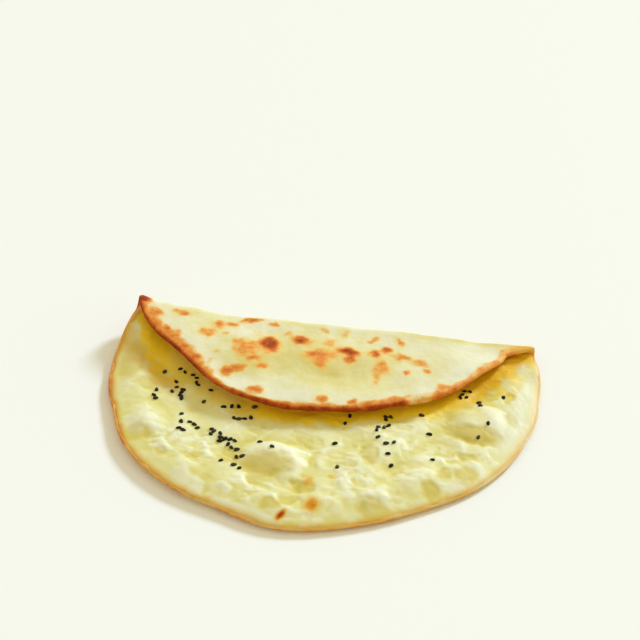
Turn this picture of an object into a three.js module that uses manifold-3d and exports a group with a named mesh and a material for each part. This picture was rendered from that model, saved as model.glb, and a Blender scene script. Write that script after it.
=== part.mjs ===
// Cheese flatbread: a thin round of dough under melted cheese and black seeds,
// with its far third folded over so that the toasted underside shows.
// Millimetres, +Z up. The origin is on the table under the middle of the folded bread.
import * as THREE from "three";
import { mergeVertices } from "three/addons/utils/BufferGeometryUtils.js";
import Module from "manifold-3d";

const { clamp, degToRad, lerp, smoothstep } = THREE.MathUtils;

// The dough round as it lay before it was folded, seen from above.
// u runs along the fold to the right, v across it to the back, from the middle of the round.
const discRadius = 121.5;
const doughThickness = 4;
const rimRounding = 3; // width over which the dough rounds off to its rim
const pinchedEnd = { share: 0.5, u: [96, 117], v: [18, 36] }; // it is thinner at the fold's right end
const rimCurl = 0.5; // how far the rim turns towards the cheese side
const leftCurl = { height: 1.8, angle: -140, spread: 38 }; // it turns up further round the front left
const curlWidth = 22; // how far in from the rim that turn begins
const curlFade = { near: 20, far: 50 }; // the turn dies out this far from the fold

// Bulges (+) and flats (-) of the hand-stretched outline, by angle in degrees from +u
const outlineSwells = [
  { angle: -157, rise: -2, spread: 9 },
  { angle: -132, rise: 1.8, spread: 24 },
  { angle: -107, rise: -1.5, spread: 8 },
  { angle: -93, rise: 4.3, spread: 14 },
  { angle: -57, rise: -2, spread: 12 },
  { angle: -14, rise: -1.4, spread: 14 },
  { angle: 1, rise: -2, spread: 8 },
  { angle: 22, rise: 4, spread: 3.6 },
  { angle: 27.5, rise: -3.4, spread: 3.2 },
  { angle: 37, rise: -8, spread: 19 },
  { angle: 69, rise: -2.4, spread: 7 },
  { angle: 106, rise: 5.4, spread: 18 },
  { angle: 131, rise: -2, spread: 10 },
  { angle: 153, rise: 4.8, spread: 11 },
];

// The fold: a soft bend along a line behind the middle, pinched towards both ends
const foldTurn = degToRad(-9); // the fold's slant across the table
const foldOffset = 32; // from the middle of the round to the bend
const foldSplay = 5; // the bend's ends lie this much further back
const bendRadius = { middle: 5.7, slope: -0.9, pinch: 1.8 }; // to the middle of the dough

// The flap: its underside settles on a gently sloping plane with a shallow hollow
const flapLevel = 12.4; // height of its underside above the table, away from the bend
const flapSlope = -0.018; // it is higher at its left end
const flapSettle = 32; // distance from the bend over which it reaches that plane
const flapHollow = { u: 22, v: -6, radius: 30, depth: 1.2 };
const flapWave = { height: 0.5, length: 46 };

// Both ends of the fold have curled up off the table, the left one more
const cornerLifts = [
  { height: 9.5, u: [-25, -120], v: [-15, 35] },
  { height: 5, u: [85, 121], v: [5, 38] },
];

// Melted cheese: a layer on the dough that also fills the fold
const cheeseThickness = 3;
const cheeseInset = 2.4; // bare dough between the cheese and the rim
const cheeseRounding = 12; // width over which it thins out to its edge
const cheeseWave = { height: 0.6, length: 30 };
const fillMouth = { start: 5, end: 17 }; // from the flap's edge in to where cheese meets the flap
const fillEnds = 0.91; // the filled part is this much narrower at the bend
const fillStart = 24; // v where the rows start closing in on the bend
const gap = 0.4; // between cheese and dough

// Blisters in the cheese: crest, reach to each side and height
const blisters = [
  { u: -7, v: -75, left: 30, right: 10, front: 21, back: 11, height: 3.7 },
  { u: 88, v: -29, left: 18, right: 15, front: 21, back: 14, height: 4 },
  { u: -110, v: -14, left: 11, right: 11, front: 22, back: 16, height: 0.8 },
  { u: 42, v: -63, left: 12, right: 12, front: 12, back: 14, height: 1.6 },
  { u: 33, v: -97, left: 16, right: 16, front: 11, back: 13, height: 1.4 },
  { u: -66, v: -97, left: 18, right: 18, front: 11, back: 13, height: 1.2 },
  { u: 66, v: -84, left: 15, right: 15, front: 11, back: 13, height: 1.3 },
  { u: -88, v: -60, left: 13, right: 13, front: 14, back: 18, height: 1 },
];
const blisterFoot = 0.03; // how softly a blister runs out at its foot

// Black seeds, sprinkled in clusters: middle, half length, half width, tilt in degrees and count
const seedSize = { length: 3.1, width: 2.1, height: 1.7 };
const seedScale = { least: 0.85, most: 1.12 };
const seedSpacing = 2.3;
const seedProud = 0.15; // height of a seed's middle above the cheese, of its own height
const seedUnder = 4; // how far in under the flap's edge a seed may lie
const seedTries = 8; // draws for each seed before it is left out
const seedDraw = 57226;
const seedDrop = 40; // height from which a seed is dropped onto the cheese
const seedClusters = [
  { u: -77, v: -9, along: 6, across: 2, tilt: -45, count: 3 },
  { u: -70, v: -17, along: 4, across: 2, tilt: -76, count: 3 },
  { u: -83, v: -14, along: 8, across: 5, tilt: -38, count: 2 },
  { u: -90, v: -33, along: 8, across: 5, tilt: -73, count: 3 },
  { u: -78, v: -30, along: 6, across: 5, tilt: -75, count: 6 },
  { u: -61, v: -30, along: 6, across: 1, tilt: 81, count: 2 },
  { u: -44, v: -38, along: 11, across: 2, tilt: 10, count: 4 },
  { u: -39, v: -48, along: 6, across: 3, tilt: 0, count: 4 },
  { u: -66, v: -54, along: 11, across: 4, tilt: -40, count: 5 },
  { u: -68, v: -62, along: 8, across: 1, tilt: -18, count: 2 },
  { u: -49, v: -62, along: 6, across: 4, tilt: -63, count: 6 },
  { u: -41, v: -69, along: 6, across: 5, tilt: -44, count: 6 },
  { u: -33, v: -79, along: 3, across: 1, tilt: 19, count: 2 },
  { u: -37, v: -86, along: 8, across: 1, tilt: -25, count: 3 },
  { u: -22, v: -69, along: 7, across: 1, tilt: -33, count: 2 },
  { u: 37, v: -39, along: 9, across: 4, tilt: 70, count: 7 },
  { u: 42, v: -61, along: 13, across: 6, tilt: -56, count: 5 },
  { u: 78, v: -7, along: 6, across: 3.5, tilt: 72, count: 5 },
  { u: 86, v: -16, along: 5, across: 3, tilt: 71, count: 3 },
  { u: 17, v: -55, along: 25, across: 6, tilt: -90, count: 4 },
  { u: 62, v: -49, along: 26, across: 2, tilt: -74, count: 3 },
  { u: 93, v: -30, along: 31, across: 3, tilt: 78, count: 3 },
];

// The middle of the round, from the origin
const discCentre = { x: 0.4, y: 32 };

// Rows across the sheets and columns along them
const breadMesh = { baseRows: 18, bendRows: 12, flapRows: 12, columns: 32, bendFrom: 28, bendTo: 54 };
const cheeseMesh = { layerRows: 24, fillRows: 6, columns: 36 };
const seedSides = { round: 5, rings: 4 };

// Spacing that closes up towards 1, for a rounded edge there
const edgeSpacing = (x) => (6 * x - Math.sign(x) * Math.abs(x) ** 6) / 5;

// Quarter round from 0 at the edge to 1
const rounding = (depth, width) => Math.sqrt(1 - (1 - clamp(depth / width, 0, 1)) ** 2);

// Uneven swell of a surface, between about -1 and 1, from waves in scattered directions
function swell(u, v, length) {
  const waves = 5;
  const goldenAngle = 2.39996;
  let sum = 0;
  for (let i = 1; i <= waves; i++) {
    const reach = (u * Math.cos(i * goldenAngle) + v * Math.sin(i * goldenAngle)) / length;
    sum += Math.sin(2 * Math.PI * reach * (0.8 + 0.1 * i) + 1.7 * i);
  }
  return (sum * 2) / waves;
}

// Soft hump round the rim, 1 at a middle angle and falling off over a spread, both in degrees
function humpAt(angle, middle, spread) {
  const turned = angle - degToRad(middle);
  const apart = Math.atan2(Math.sin(turned), Math.cos(turned));
  return Math.exp(-((apart / degToRad(spread)) ** 2));
}

// Outline of the flat round
function outlineRadius(angle) {
  let radius = discRadius;
  for (const { angle: middle, rise, spread } of outlineSwells) {
    radius += rise * humpAt(angle, middle, spread);
  }
  return radius;
}

// How far a point of the flat round lies inside its rim
const rimDepth = (u, v) => Math.max(0, outlineRadius(Math.atan2(v, u)) - Math.hypot(u, v));

const foldLineAt = (u) => foldOffset + foldSplay * (u / discRadius) ** 4;

function bendRadiusAt(u) {
  const across = u / discRadius;
  return bendRadius.middle + bendRadius.slope * across - bendRadius.pinch * across ** 2;
}

function liftAt(u, v) {
  let lift = 0;
  for (const corner of cornerLifts) {
    const [from, to] = corner.u;
    const along = clamp((u - from) / (to - from), 0, 1);
    lift += corner.height * along ** 3 * smoothstep(v, ...corner.v);
  }
  return lift;
}

function halfThickness(u, v, depth) {
  const pinched = pinchedEnd.share * smoothstep(u, ...pinchedEnd.u) * smoothstep(v, ...pinchedEnd.v);
  return (doughThickness / 2) * (1 - pinched) * rounding(depth, rimRounding);
}

// Middle of the dough at (u, v) of the flat round once folded, with the way to its cheese side
function doughAt(u, v) {
  const foldLine = foldLineAt(u);
  const radius = bendRadiusAt(u);
  const past = v - foldLine;
  const turn = clamp(past / radius, 0, Math.PI);
  const beyond = Math.max(0, past - Math.PI * radius);
  const depth = rimDepth(u, v);
  const y = foldLine + Math.min(past, 0) + radius * Math.sin(turn) - beyond;
  const inward = new THREE.Vector3(0, -Math.sin(turn), Math.cos(turn));

  let z = doughThickness / 2 + liftAt(u, Math.min(v, foldLine)) + radius * (1 - Math.cos(turn));
  const settled = smoothstep(beyond, 0, flapSettle);
  const fromHollow = Math.hypot(u - flapHollow.u, y - flapHollow.v) / flapHollow.radius;
  let level = doughThickness / 2 + flapLevel + flapSlope * u;
  level += flapWave.height * swell(u, y, flapWave.length) - flapHollow.depth * Math.exp(-(fromHollow ** 2));
  z = lerp(z, level, settled);

  const fromBend = Math.abs(past - (Math.PI * radius) / 2);
  const curlHeight = rimCurl + leftCurl.height * humpAt(Math.atan2(v, u), leftCurl.angle, leftCurl.spread);
  const curl = curlHeight * (1 - Math.min(1, depth / curlWidth)) ** 2;
  const point = new THREE.Vector3(u, y, z);
  point.addScaledVector(inward, curl * smoothstep(fromBend, curlFade.near, curlFade.far));
  return { point, inward, depth };
}

// Ends of a row across the flat round, on the rim at one angle either side of the front
function chordEnds(fromFront, inset) {
  return [-1, 1].map((side) => {
    const angle = -Math.PI / 2 + side * fromFront;
    const radius = outlineRadius(angle) - inset;
    return new THREE.Vector2(radius * Math.cos(angle), radius * Math.sin(angle));
  });
}

// Angle from the front at which a row lies at v
const rowAngle = (v) => Math.acos(-v / discRadius);

function chordPoints([left, right], columns) {
  const points = [];
  for (let k = 0; k <= columns; k++) {
    const share = (1 + edgeSpacing((2 * k) / columns - 1)) / 2;
    points.push(left.clone().lerp(right, share));
  }
  return points;
}

// Closed body between an upper and a lower sheet of points that meet along their border
function closedBody(sheets) {
  const rows = sheets[0].length;
  const columns = sheets[0][0].length;
  const positions = sheets.flat(2).flatMap((point) => point.toArray());
  const index = [];
  const addTriangle = (a, b, c) => index.push(a, b, c);
  sheets.forEach((sheet, side) => {
    for (let i = 0; i < rows - 1; i++) {
      for (let k = 0; k < columns - 1; k++) {
        const near = (side * rows + i) * columns + k;
        const far = near + columns;
        const [second, third] = side === 0 ? [near + 1, far] : [far, near + 1];
        addTriangle(near, second, third);
        addTriangle(far + 1, third, second);
      }
    }
  });
  const geometry = new THREE.BufferGeometry();
  geometry.setAttribute("position", new THREE.Float32BufferAttribute(positions, 3));
  geometry.setIndex(index);
  return withoutSlivers(mergeVertices(geometry));
}

// Drops the triangles that a shared border point or a pole has closed up
function withoutSlivers(geometry) {
  const corners = geometry.index.array;
  const kept = [];
  for (let i = 0; i < corners.length; i += 3) {
    const [a, b, c] = corners.slice(i, i + 3);
    if (a !== b && b !== c && c !== a) kept.push(a, b, c);
  }
  geometry.setIndex(kept);
  return geometry;
}

function breadGeometry() {
  const { baseRows, bendRows, flapRows, columns, bendFrom, bendTo } = breadMesh;
  const rows = [];
  for (let i = 0; i < baseRows; i++) {
    rows.push(lerp(0, rowAngle(bendFrom), i / baseRows));
  }
  for (let i = 0; i < bendRows; i++) {
    rows.push(rowAngle(lerp(bendFrom, bendTo, i / bendRows)));
  }
  for (let i = 0; i <= flapRows; i++) {
    rows.push(lerp(rowAngle(bendTo), Math.PI, i / flapRows));
  }
  const inner = [];
  const outer = [];
  for (const fromFront of rows) {
    const skins = chordPoints(chordEnds(fromFront, 0), columns).map(({ x, y }, k) => {
      const { point, inward, depth } = doughAt(x, y);
      const onRim = k === 0 || k === columns;
      const half = onRim ? 0 : halfThickness(x, y, depth);
      return [point.clone().addScaledVector(inward, half), point.clone().addScaledVector(inward, -half)];
    });
    inner.push(skins.map(([skin]) => skin));
    outer.push(skins.map(([, skin]) => skin));
  }
  return closedBody([inner, outer]);
}

// Where the flat round's point lies that folds over onto (u, y)
const overhead = (u, y) => 2 * foldLineAt(u) + Math.PI * bendRadiusAt(u) - y;

// Distance inside the flap's edge at (u, y), negative where the flap doesn't reach
function flapDepth(u, y) {
  const v = overhead(u, y);
  return outlineRadius(Math.atan2(v, u)) - Math.hypot(u, v);
}

// Cheese sides of the dough under and over (u, y), inside the bend too
function floorAndCeiling(u, y) {
  const foldLine = foldLineAt(u);
  if (y > foldLine) {
    const radius = bendRadiusAt(u);
    const middle = doughThickness / 2 + radius + liftAt(u, foldLine);
    const half = Math.sqrt(Math.max(0, (radius - doughThickness / 2) ** 2 - (y - foldLine) ** 2));
    return [middle - half, middle + half];
  }
  const over = overhead(u, y);
  const base = doughAt(u, y);
  const flap = doughAt(u, over);
  return [
    base.point.z + halfThickness(u, y, base.depth),
    flap.point.z - halfThickness(u, over, flap.depth),
  ];
}

function cheeseRelief(u, v) {
  let height = cheeseWave.height * swell(u, v, cheeseWave.length);
  for (const blister of blisters) {
    const sideways = u < blister.u ? blister.left : blister.right;
    const endways = v < blister.v ? blister.front : blister.back;
    const apart = Math.hypot((u - blister.u) / sideways, (v - blister.v) / endways);
    const cap = 1 - apart ** 2;
    height += blister.height * (cap + Math.sqrt(cap ** 2 + blisterFoot)) / 2;
  }
  return height;
}

// Underside and top of the cheese at (u, y), a given depth inside its edge
function cheeseAt(u, y, depth) {
  const [floor, ceiling] = floorAndCeiling(u, y);
  const under = floor + gap;
  const inFlap = flapDepth(u, y);
  const layer = rounding(depth, cheeseRounding) * (cheeseThickness + cheeseRelief(u, y));
  let over = under + Math.max(0, layer);
  if (inFlap > -rimRounding) {
    const top = Math.max(under, ceiling - gap);
    const filled = smoothstep(inFlap, fillMouth.start, fillMouth.end) * rounding(depth, cheeseRounding);
    over = lerp(Math.min(over, top), top, filled);
  }
  return [under, over];
}

function cheeseGeometry() {
  const { layerRows, fillRows, columns } = cheeseMesh;
  const rows = [];
  for (let i = 0; i <= layerRows; i++) {
    const fromFront = lerp(0, rowAngle(fillStart), i / layerRows);
    rows.push(chordPoints(chordEnds(fromFront, cheeseInset), columns));
  }
  // Behind that the rows bunch up towards the inside of the bend
  const last = rows[layerRows];
  for (let i = 1; i <= fillRows; i++) {
    const share = edgeSpacing(i / fillRows);
    const narrowing = lerp(1, fillEnds, share);
    rows.push(last.map(({ x, y }) => {
      const u = x * narrowing;
      const deepest = foldLineAt(u) + bendRadiusAt(u) - doughThickness / 2 - 2 * gap;
      return new THREE.Vector2(u, lerp(y, deepest, share));
    }));
  }
  const top = [];
  const bottom = [];
  rows.forEach((row, i) => {
    const ends = [row[0].x, row[columns].x];
    const sheets = row.map(({ x, y }, k) => {
      const onEdge = k === 0 || k === columns || i === 0 || i === rows.length - 1;
      const toEnd = Math.min(x - ends[0], ends[1] - x);
      const depth = onEdge ? 0 : Math.max(0, Math.min(toEnd, rimDepth(x, y) - cheeseInset));
      const [under, over] = cheeseAt(x, y, depth);
      return [new THREE.Vector3(x, y, onEdge ? under : over), new THREE.Vector3(x, y, under)];
    });
    top.push(sheets.map(([sheet]) => sheet));
    bottom.push(sheets.map(([, sheet]) => sheet));
  });
  return closedBody([top, bottom]);
}

// Repeatable random draws from 0 to 1
function drawer(start) {
  const modulus = 2147483647;
  const multiplier = 48271;
  let state = start;
  return () => {
    state = (state * multiplier) % modulus;
    return state / modulus;
  };
}

// Places of the seeds, spread along each cluster, apart from each other and not deep in the fold
function seedPlaces() {
  const draw = drawer(seedDraw);
  const places = [];
  for (const cluster of seedClusters) {
    const tilt = degToRad(cluster.tilt);
    for (let i = 0; i < cluster.count; i++) {
      for (let tried = 0; tried < seedTries; tried++) {
        const along = cluster.along * ((2 * (i + draw())) / cluster.count - 1);
        const across = cluster.across * (draw() + draw() - 1);
        const u = cluster.u + along * Math.cos(tilt) - across * Math.sin(tilt);
        const v = cluster.v + along * Math.sin(tilt) + across * Math.cos(tilt);
        const turn = 2 * Math.PI * draw();
        const scale = lerp(seedScale.least, seedScale.most, draw());
        const crowded = places.some((other) => Math.hypot(other.u - u, other.v - v) < seedSpacing);
        if (crowded || flapDepth(u, v) > seedUnder) continue;
        places.push({ u, v, turn, scale });
        break;
      }
    }
  }
  return places;
}

// A seed laid on the cheese at one place
function seedGeometry({ u, v, turn, scale }, cheese) {
  const above = new THREE.Vector3(u, v, seedDrop);
  const [hit] = new THREE.Raycaster(above, new THREE.Vector3(0, 0, -1)).intersectObject(cheese);
  const geometry = new THREE.SphereGeometry(scale / 2, seedSides.round, seedSides.rings);
  geometry.scale(seedSize.width, seedSize.height, seedSize.length);
  geometry.rotateX(Math.PI / 2);
  geometry.rotateZ(turn);
  const upright = new THREE.Vector3(0, 0, 1);
  geometry.applyQuaternion(new THREE.Quaternion().setFromUnitVectors(upright, hit.face.normal));
  const middle = hit.point.addScaledVector(hit.face.normal, seedProud * seedSize.height);
  return geometry.translate(middle.x, middle.y, middle.z);
}

const wasm = await Module();
wasm.setup();

function solidOf(geometry) {
  geometry.deleteAttribute("normal");
  geometry.deleteAttribute("uv");
  const merged = withoutSlivers(mergeVertices(geometry));
  return new wasm.Manifold(new wasm.Mesh({
    numProp: 3,
    vertProperties: Float32Array.from(merged.attributes.position.array),
    triVerts: Uint32Array.from(merged.index.array),
  }));
}

function geometryOf(solid) {
  const { vertProperties, triVerts } = solid.getMesh();
  const geometry = new THREE.BufferGeometry();
  geometry.setAttribute("position", new THREE.BufferAttribute(vertProperties, 3));
  geometry.setIndex(new THREE.BufferAttribute(triVerts, 1));
  return geometry;
}

// The cheese with its seeds set into it
function seededCheeseGeometry() {
  const bare = cheeseGeometry();
  const bareMesh = new THREE.Mesh(bare);
  let solid = solidOf(bare.clone());
  for (const place of seedPlaces()) {
    solid = solid.add(solidOf(seedGeometry(place, bareMesh)));
  }
  return geometryOf(solid);
}

const crust = new THREE.MeshStandardMaterial({ color: 0xe0c27c, roughness: 0.75, metalness: 0 });
const meltedCheese = new THREE.MeshStandardMaterial({ color: 0xe6dfa2, roughness: 0.45, metalness: 0 });

function part(name, geometry, material) {
  geometry.computeVertexNormals();
  const mesh = new THREE.Mesh(geometry, material);
  mesh.name = name;
  return mesh;
}

const flatbread = new THREE.Group();
flatbread.position.set(discCentre.x, discCentre.y, 0);
flatbread.rotation.z = foldTurn;
flatbread.add(part("bread", breadGeometry(), crust));
flatbread.add(part("cheese", seededCheeseGeometry(), meltedCheese));

const model = new THREE.Group();
model.add(flatbread);

export default model;
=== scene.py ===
import math

import bpy
import numpy as np
from mathutils import Matrix, Vector
from mathutils.bvhtree import BVHTree


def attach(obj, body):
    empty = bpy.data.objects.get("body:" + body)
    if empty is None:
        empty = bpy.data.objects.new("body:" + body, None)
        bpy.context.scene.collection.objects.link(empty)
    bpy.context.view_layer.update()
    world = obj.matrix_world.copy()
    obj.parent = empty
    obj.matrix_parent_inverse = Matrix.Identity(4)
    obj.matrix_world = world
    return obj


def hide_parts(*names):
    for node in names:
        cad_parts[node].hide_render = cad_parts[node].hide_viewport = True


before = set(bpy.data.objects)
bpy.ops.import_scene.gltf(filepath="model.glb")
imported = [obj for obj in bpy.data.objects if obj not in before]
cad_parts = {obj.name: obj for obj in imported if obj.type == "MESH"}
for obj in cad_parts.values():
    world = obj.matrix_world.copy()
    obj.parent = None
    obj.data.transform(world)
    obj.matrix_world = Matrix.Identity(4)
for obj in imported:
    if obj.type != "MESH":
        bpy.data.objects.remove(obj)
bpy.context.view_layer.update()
mm = 0.001  # sizes below are in millimetres, Blender's objects in metres


# Small helpers on arrays

def smooth(x, low, high):
    share = np.clip((x - low) / (high - low), 0, 1)
    return share * share * (3 - 2 * share)


def lerp(a, b, share):
    return a + (b - a) * share


def rounding(depth, width):  # quarter round, 0 at an edge and 1 from width inwards
    return np.sqrt(1 - (1 - np.clip(depth / width, 0, 1)) ** 2)


def stopsAlong(u, stops):  # value at u of a list of (u, value)
    return np.interp(u, *zip(*stops))


def swell(u, v, length):  # the slow unevenness that the solids have too
    waves, goldenAngle = 5, 2.39996
    total = 0
    for i in range(1, waves + 1):
        reach = (u * math.cos(i * goldenAngle) + v * math.sin(i * goldenAngle)) / length
        total = total + np.sin(2 * math.pi * reach * (0.8 + 0.1 * i) + 1.7 * i)
    return total * 2 / waves


def hashed(i, j, seed):  # repeatable number from 0 to 1 for each corner of a grid
    allBits, keptBits = 0xFFFFFFFF, 0xFFFFFF
    mixed = i.astype(np.int64) * 374761393 + j.astype(np.int64) * 668265263
    mixed = (mixed + seed * 974634777) & allBits
    mixed = ((mixed ^ (mixed >> 13)) * 1274126177) & allBits
    return ((mixed ^ (mixed >> 16)) & keptBits) / keptBits


def lumps(u, v, size, seed):  # soft noise between about -1 and 1
    gain = 1.7
    x, y = u / size, v / size
    i, j = np.floor(x), np.floor(y)
    total = 0
    for di in (0, 1):
        for dj in (0, 1):
            dx, dy = x - i - di, y - j - dj
            angle = 2 * math.pi * hashed(i + di, j + dj, seed)
            weight = smooth(1 - np.abs(dx), 0, 1) * smooth(1 - np.abs(dy), 0, 1)
            total = total + weight * (np.cos(angle) * dx + np.sin(angle) * dy)
    return gain * total


def layered(u, v, layers, seed):  # the same in several layers, each a height and a size
    return sum(height * lumps(u, v, size, seed + k) for k, (height, size) in enumerate(layers))


def warped(u, v, wobbles):  # u and v moved by soft noise, each wobble a height, a size and two seeds
    movedU, movedV = u, v
    for height, size, seedU, seedV in wobbles:
        movedU = movedU + height * lumps(u, v, size, seedU)
        movedV = movedV + height * lumps(u, v, size, seedV)
    return movedU, movedV


def cells(u, v, size, seed):  # distance to the nearest of scattered points, and to the next
    farOff = 9.0
    x, y = u / size, v / size
    i, j = np.floor(x), np.floor(y)
    nearest = np.full_like(x, farOff)
    second = np.full_like(x, farOff)
    for di in (-1, 0, 1):
        for dj in (-1, 0, 1):
            px = i + di + hashed(i + di, j + dj, seed)
            py = j + dj + hashed(i + di, j + dj, seed + 1)
            apart = np.hypot(x - px, y - py)
            second = np.minimum(second, np.maximum(nearest, apart))
            nearest = np.minimum(nearest, apart)
    return nearest, second


def facets(u, v, size, seed, crispness=7.0):  # small tilted planes that run into each other softly
    slope = 0.7
    x, y = u / size, v / size
    i, j = np.floor(x), np.floor(y)
    total, weights = 0, 1e-9
    for di in (-2, -1, 0, 1, 2):
        for dj in (-2, -1, 0, 1, 2):
            column, row = i + di, j + dj
            dx = x - column - hashed(column, row, seed)
            dy = y - row - hashed(column, row, seed + 1)
            tilt = 2 * math.pi * hashed(column, row, seed + 2)
            height = hashed(column, row, seed + 3) - 0.5 + slope * (dx * np.cos(tilt) + dy * np.sin(tilt))
            weight = np.exp(-crispness * (dx * dx + dy * dy))
            total, weights = total + weight * height, weights + weight
    return 2 * total / weights


def ovalReach(u, v, middleU, middleV, halfU, halfV, tilt):  # 0 in a tilted oval's middle, 1 on its edge
    turn = math.radians(tilt)
    du, dv = u - middleU, v - middleV
    along = (du * math.cos(turn) + dv * math.sin(turn)) / halfU
    across = (dv * math.cos(turn) - du * math.sin(turn)) / halfV
    return np.hypot(along, across)


def spotField(u, v, spots, warp, fades):  # from 0 on bare ground towards 1 on ragged ovals
    warpedU, warpedV = warped(u, v, warp)
    bare = np.ones_like(u)
    for *oval, strength in spots:
        apart = ovalReach(warpedU, warpedV, *oval)
        cover = sum(share * smooth(apart, outer, inner) for share, outer, inner in fades)
        bare = bare * (1 - strength * cover)
    return 1 - bare


def blurred(heights, size):  # soft average of a grid of heights, size in cells
    rows, columns = (np.fft.fftfreq(count) for count in heights.shape)
    damp = np.exp(-2 * (math.pi * size) ** 2 * (rows[:, None] ** 2 + columns[None, :] ** 2))
    return np.fft.ifft2(np.fft.fft2(heights) * damp).real


def sampled(heights, x, y):  # a grid's value between its corners, x and y in cells
    i = np.clip(np.floor(x).astype(int), 0, heights.shape[0] - 2)
    j = np.clip(np.floor(y).astype(int), 0, heights.shape[1] - 2)
    fx, fy = x - i, y - j
    near = lerp(heights[i, j], heights[i, j + 1], fy)
    far = lerp(heights[i + 1, j], heights[i + 1, j + 1], fy)
    return lerp(near, far, fx)


# Shape of the folded round. u runs along the fold to the right, v across it to the back,
# both from the middle of the round as it lay flat
dough = {
    "radius": 121.5,
    "thickness": 4.0,
    "rimRounding": 3.0,
    "rimCurl": 0.5,
    "leftCurl": (1.8, -140, 38),  # it turns up further round the front left: height, angle, spread
    "curlWidth": 22.0,
    "curlFade": (20.0, 50.0),
    "swells": [  # angle, rise and spread of the outline's bulges and flats
        (-157, -2, 9), (-132, 1.8, 24), (-107, -1.5, 8), (-93, 4.3, 14), (-57, -2, 12), (-14, -1.4, 14),
        (1, -2, 8), (22, 4, 3.6), (27.5, -3.4, 3.2), (37, -8, 19), (69, -2.4, 7), (106, 5.4, 18),
        (131, -2, 10), (153, 4.8, 11),
    ],
    "foldTurn": -9.0,
    "foldOffset": 32.0,
    "foldSplay": 5.0,
    "bendMiddle": 5.7,
    "bendSlope": -0.9,
    "bendPinch": 1.8,
    "flapLevel": 12.4,
    "flapSlope": -0.018,
    "flapSettle": 32.0,
    "hollow": (22, -6, 30, 1.2),  # u, y, radius, depth
    "flapWave": (0.5, 46.0),
    "cornerLifts": [(9.5, (-25, -120), (-15, 35)), (5.0, (85, 121), (5, 38))],
    "centre": (0.4, 32.0),  # middle of the flat round, from the origin
    "thinned": (0.7, 11.0, (26, 6)),  # the lying rim is thinner by twice this, over this width and over v
    "sinks": 0.4,  # share of that by which its top comes down further
    "pinched": (0.5, (96, 117), (18, 36)),  # thinner by this share at the fold's right end, over u and v
    "browner": (-168, 46),  # the rim is browner to the left, by angle and spread
}


def hump(angle, middle, spread):  # 1 at a middle angle, falling off over a spread, both in degrees
    apart = np.angle(np.exp(1j * (angle - math.radians(middle))))
    return np.exp(-((apart / math.radians(spread)) ** 2))


def outlineRadius(angle):
    radius = np.full_like(angle, dough["radius"])
    for middle, rise, spread in dough["swells"]:
        radius = radius + rise * hump(angle, middle, spread)
    return radius


def rimDepth(u, v):
    return np.maximum(0, outlineRadius(np.arctan2(v, u)) - np.hypot(u, v))


def foldLine(u):
    return dough["foldOffset"] + dough["foldSplay"] * (u / dough["radius"]) ** 4


def bendRadius(u):
    across = u / dough["radius"]
    return dough["bendMiddle"] + dough["bendSlope"] * across - dough["bendPinch"] * across ** 2


def cornerLift(u, v):
    lift = 0
    for height, (start, end), across in dough["cornerLifts"]:
        lift = lift + height * np.clip((u - start) / (end - start), 0, 1) ** 3 * smooth(v, *across)
    return lift


def halfThickness(u, v, depth):
    share, overU, overV = dough["pinched"]
    pinch = 1 - share * smooth(u, *overU) * smooth(v, *overV)
    return dough["thickness"] / 2 * pinch * rounding(depth, dough["rimRounding"])


def curledRim(u, v):  # 1 where the rim curls up most
    _, middle, spread = dough["leftCurl"]
    return hump(np.arctan2(v, u), middle, spread)


def brownerRim(u, v):  # 1 where the rim is brownest
    return hump(np.arctan2(v, u), *dough["browner"])


def rightRim(u, v, low, high):  # 0 to 1 towards the right, over the cosine of the angle from there
    return smooth(u / np.hypot(u, v + 1e-6), low, high)


def thinnedRim(u, v, depth):  # what the lying rim loses on each side, and how far it sinks for that
    amount, width, overV = dough["thinned"]
    thinned = amount * (1 - smooth(depth, 0, width)) * smooth(v, *overV)
    return thinned, dough["sinks"] * thinned * (1 - curledRim(u, v))


def foldedDough(u, v):  # middle of the dough once folded, and the way to its cheese side
    line, radius = foldLine(u), bendRadius(u)
    past = v - line
    turn = np.clip(past / radius, 0, math.pi)
    beyond = np.maximum(0, past - math.pi * radius)
    depth = rimDepth(u, v)
    y = line + np.minimum(past, 0) + radius * np.sin(turn) - beyond
    inward = np.stack([0 * turn, -np.sin(turn), np.cos(turn)], -1)

    middle = dough["thickness"] / 2
    z = middle + cornerLift(u, np.minimum(v, line)) + radius * (1 - np.cos(turn))
    hollowU, hollowY, hollowRadius, hollowDepth = dough["hollow"]
    fromHollow = np.hypot(u - hollowU, y - hollowY) / hollowRadius
    waveHeight, waveLength = dough["flapWave"]
    level = middle + dough["flapLevel"] + dough["flapSlope"] * u
    level = level + waveHeight * swell(u, y, waveLength) - hollowDepth * np.exp(-(fromHollow ** 2))
    z = lerp(z, level, smooth(beyond, 0, dough["flapSettle"]))

    fromBend = np.abs(past - math.pi * radius / 2)
    curl = dough["rimCurl"] + dough["leftCurl"][0] * curledRim(u, v)
    curl = curl * (1 - np.minimum(1, depth / dough["curlWidth"])) ** 2
    curl = curl * smooth(fromBend, *dough["curlFade"])
    return np.stack([u, y, z], -1) + inward * curl[..., None], inward, depth


def overhead(u, y):  # where the flat round's point lies that folds over onto (u, y)
    return 2 * foldLine(u) + math.pi * bendRadius(u) - y


def flapDepth(u, y):  # how far (u, y) is inside the flap's edge, negative outside it
    v = overhead(u, y)
    return outlineRadius(np.arctan2(v, u)) - np.hypot(u, v)


def toTable(points):  # from the fold's own axes in mm to the shared frame in metres
    turn = math.radians(dough["foldTurn"])
    x = points[:, 0] * math.cos(turn) - points[:, 1] * math.sin(turn) + dough["centre"][0]
    y = points[:, 0] * math.sin(turn) + points[:, 1] * math.cos(turn) + dough["centre"][1]
    return np.stack([x, y, points[:, 2]], -1) * mm


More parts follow.
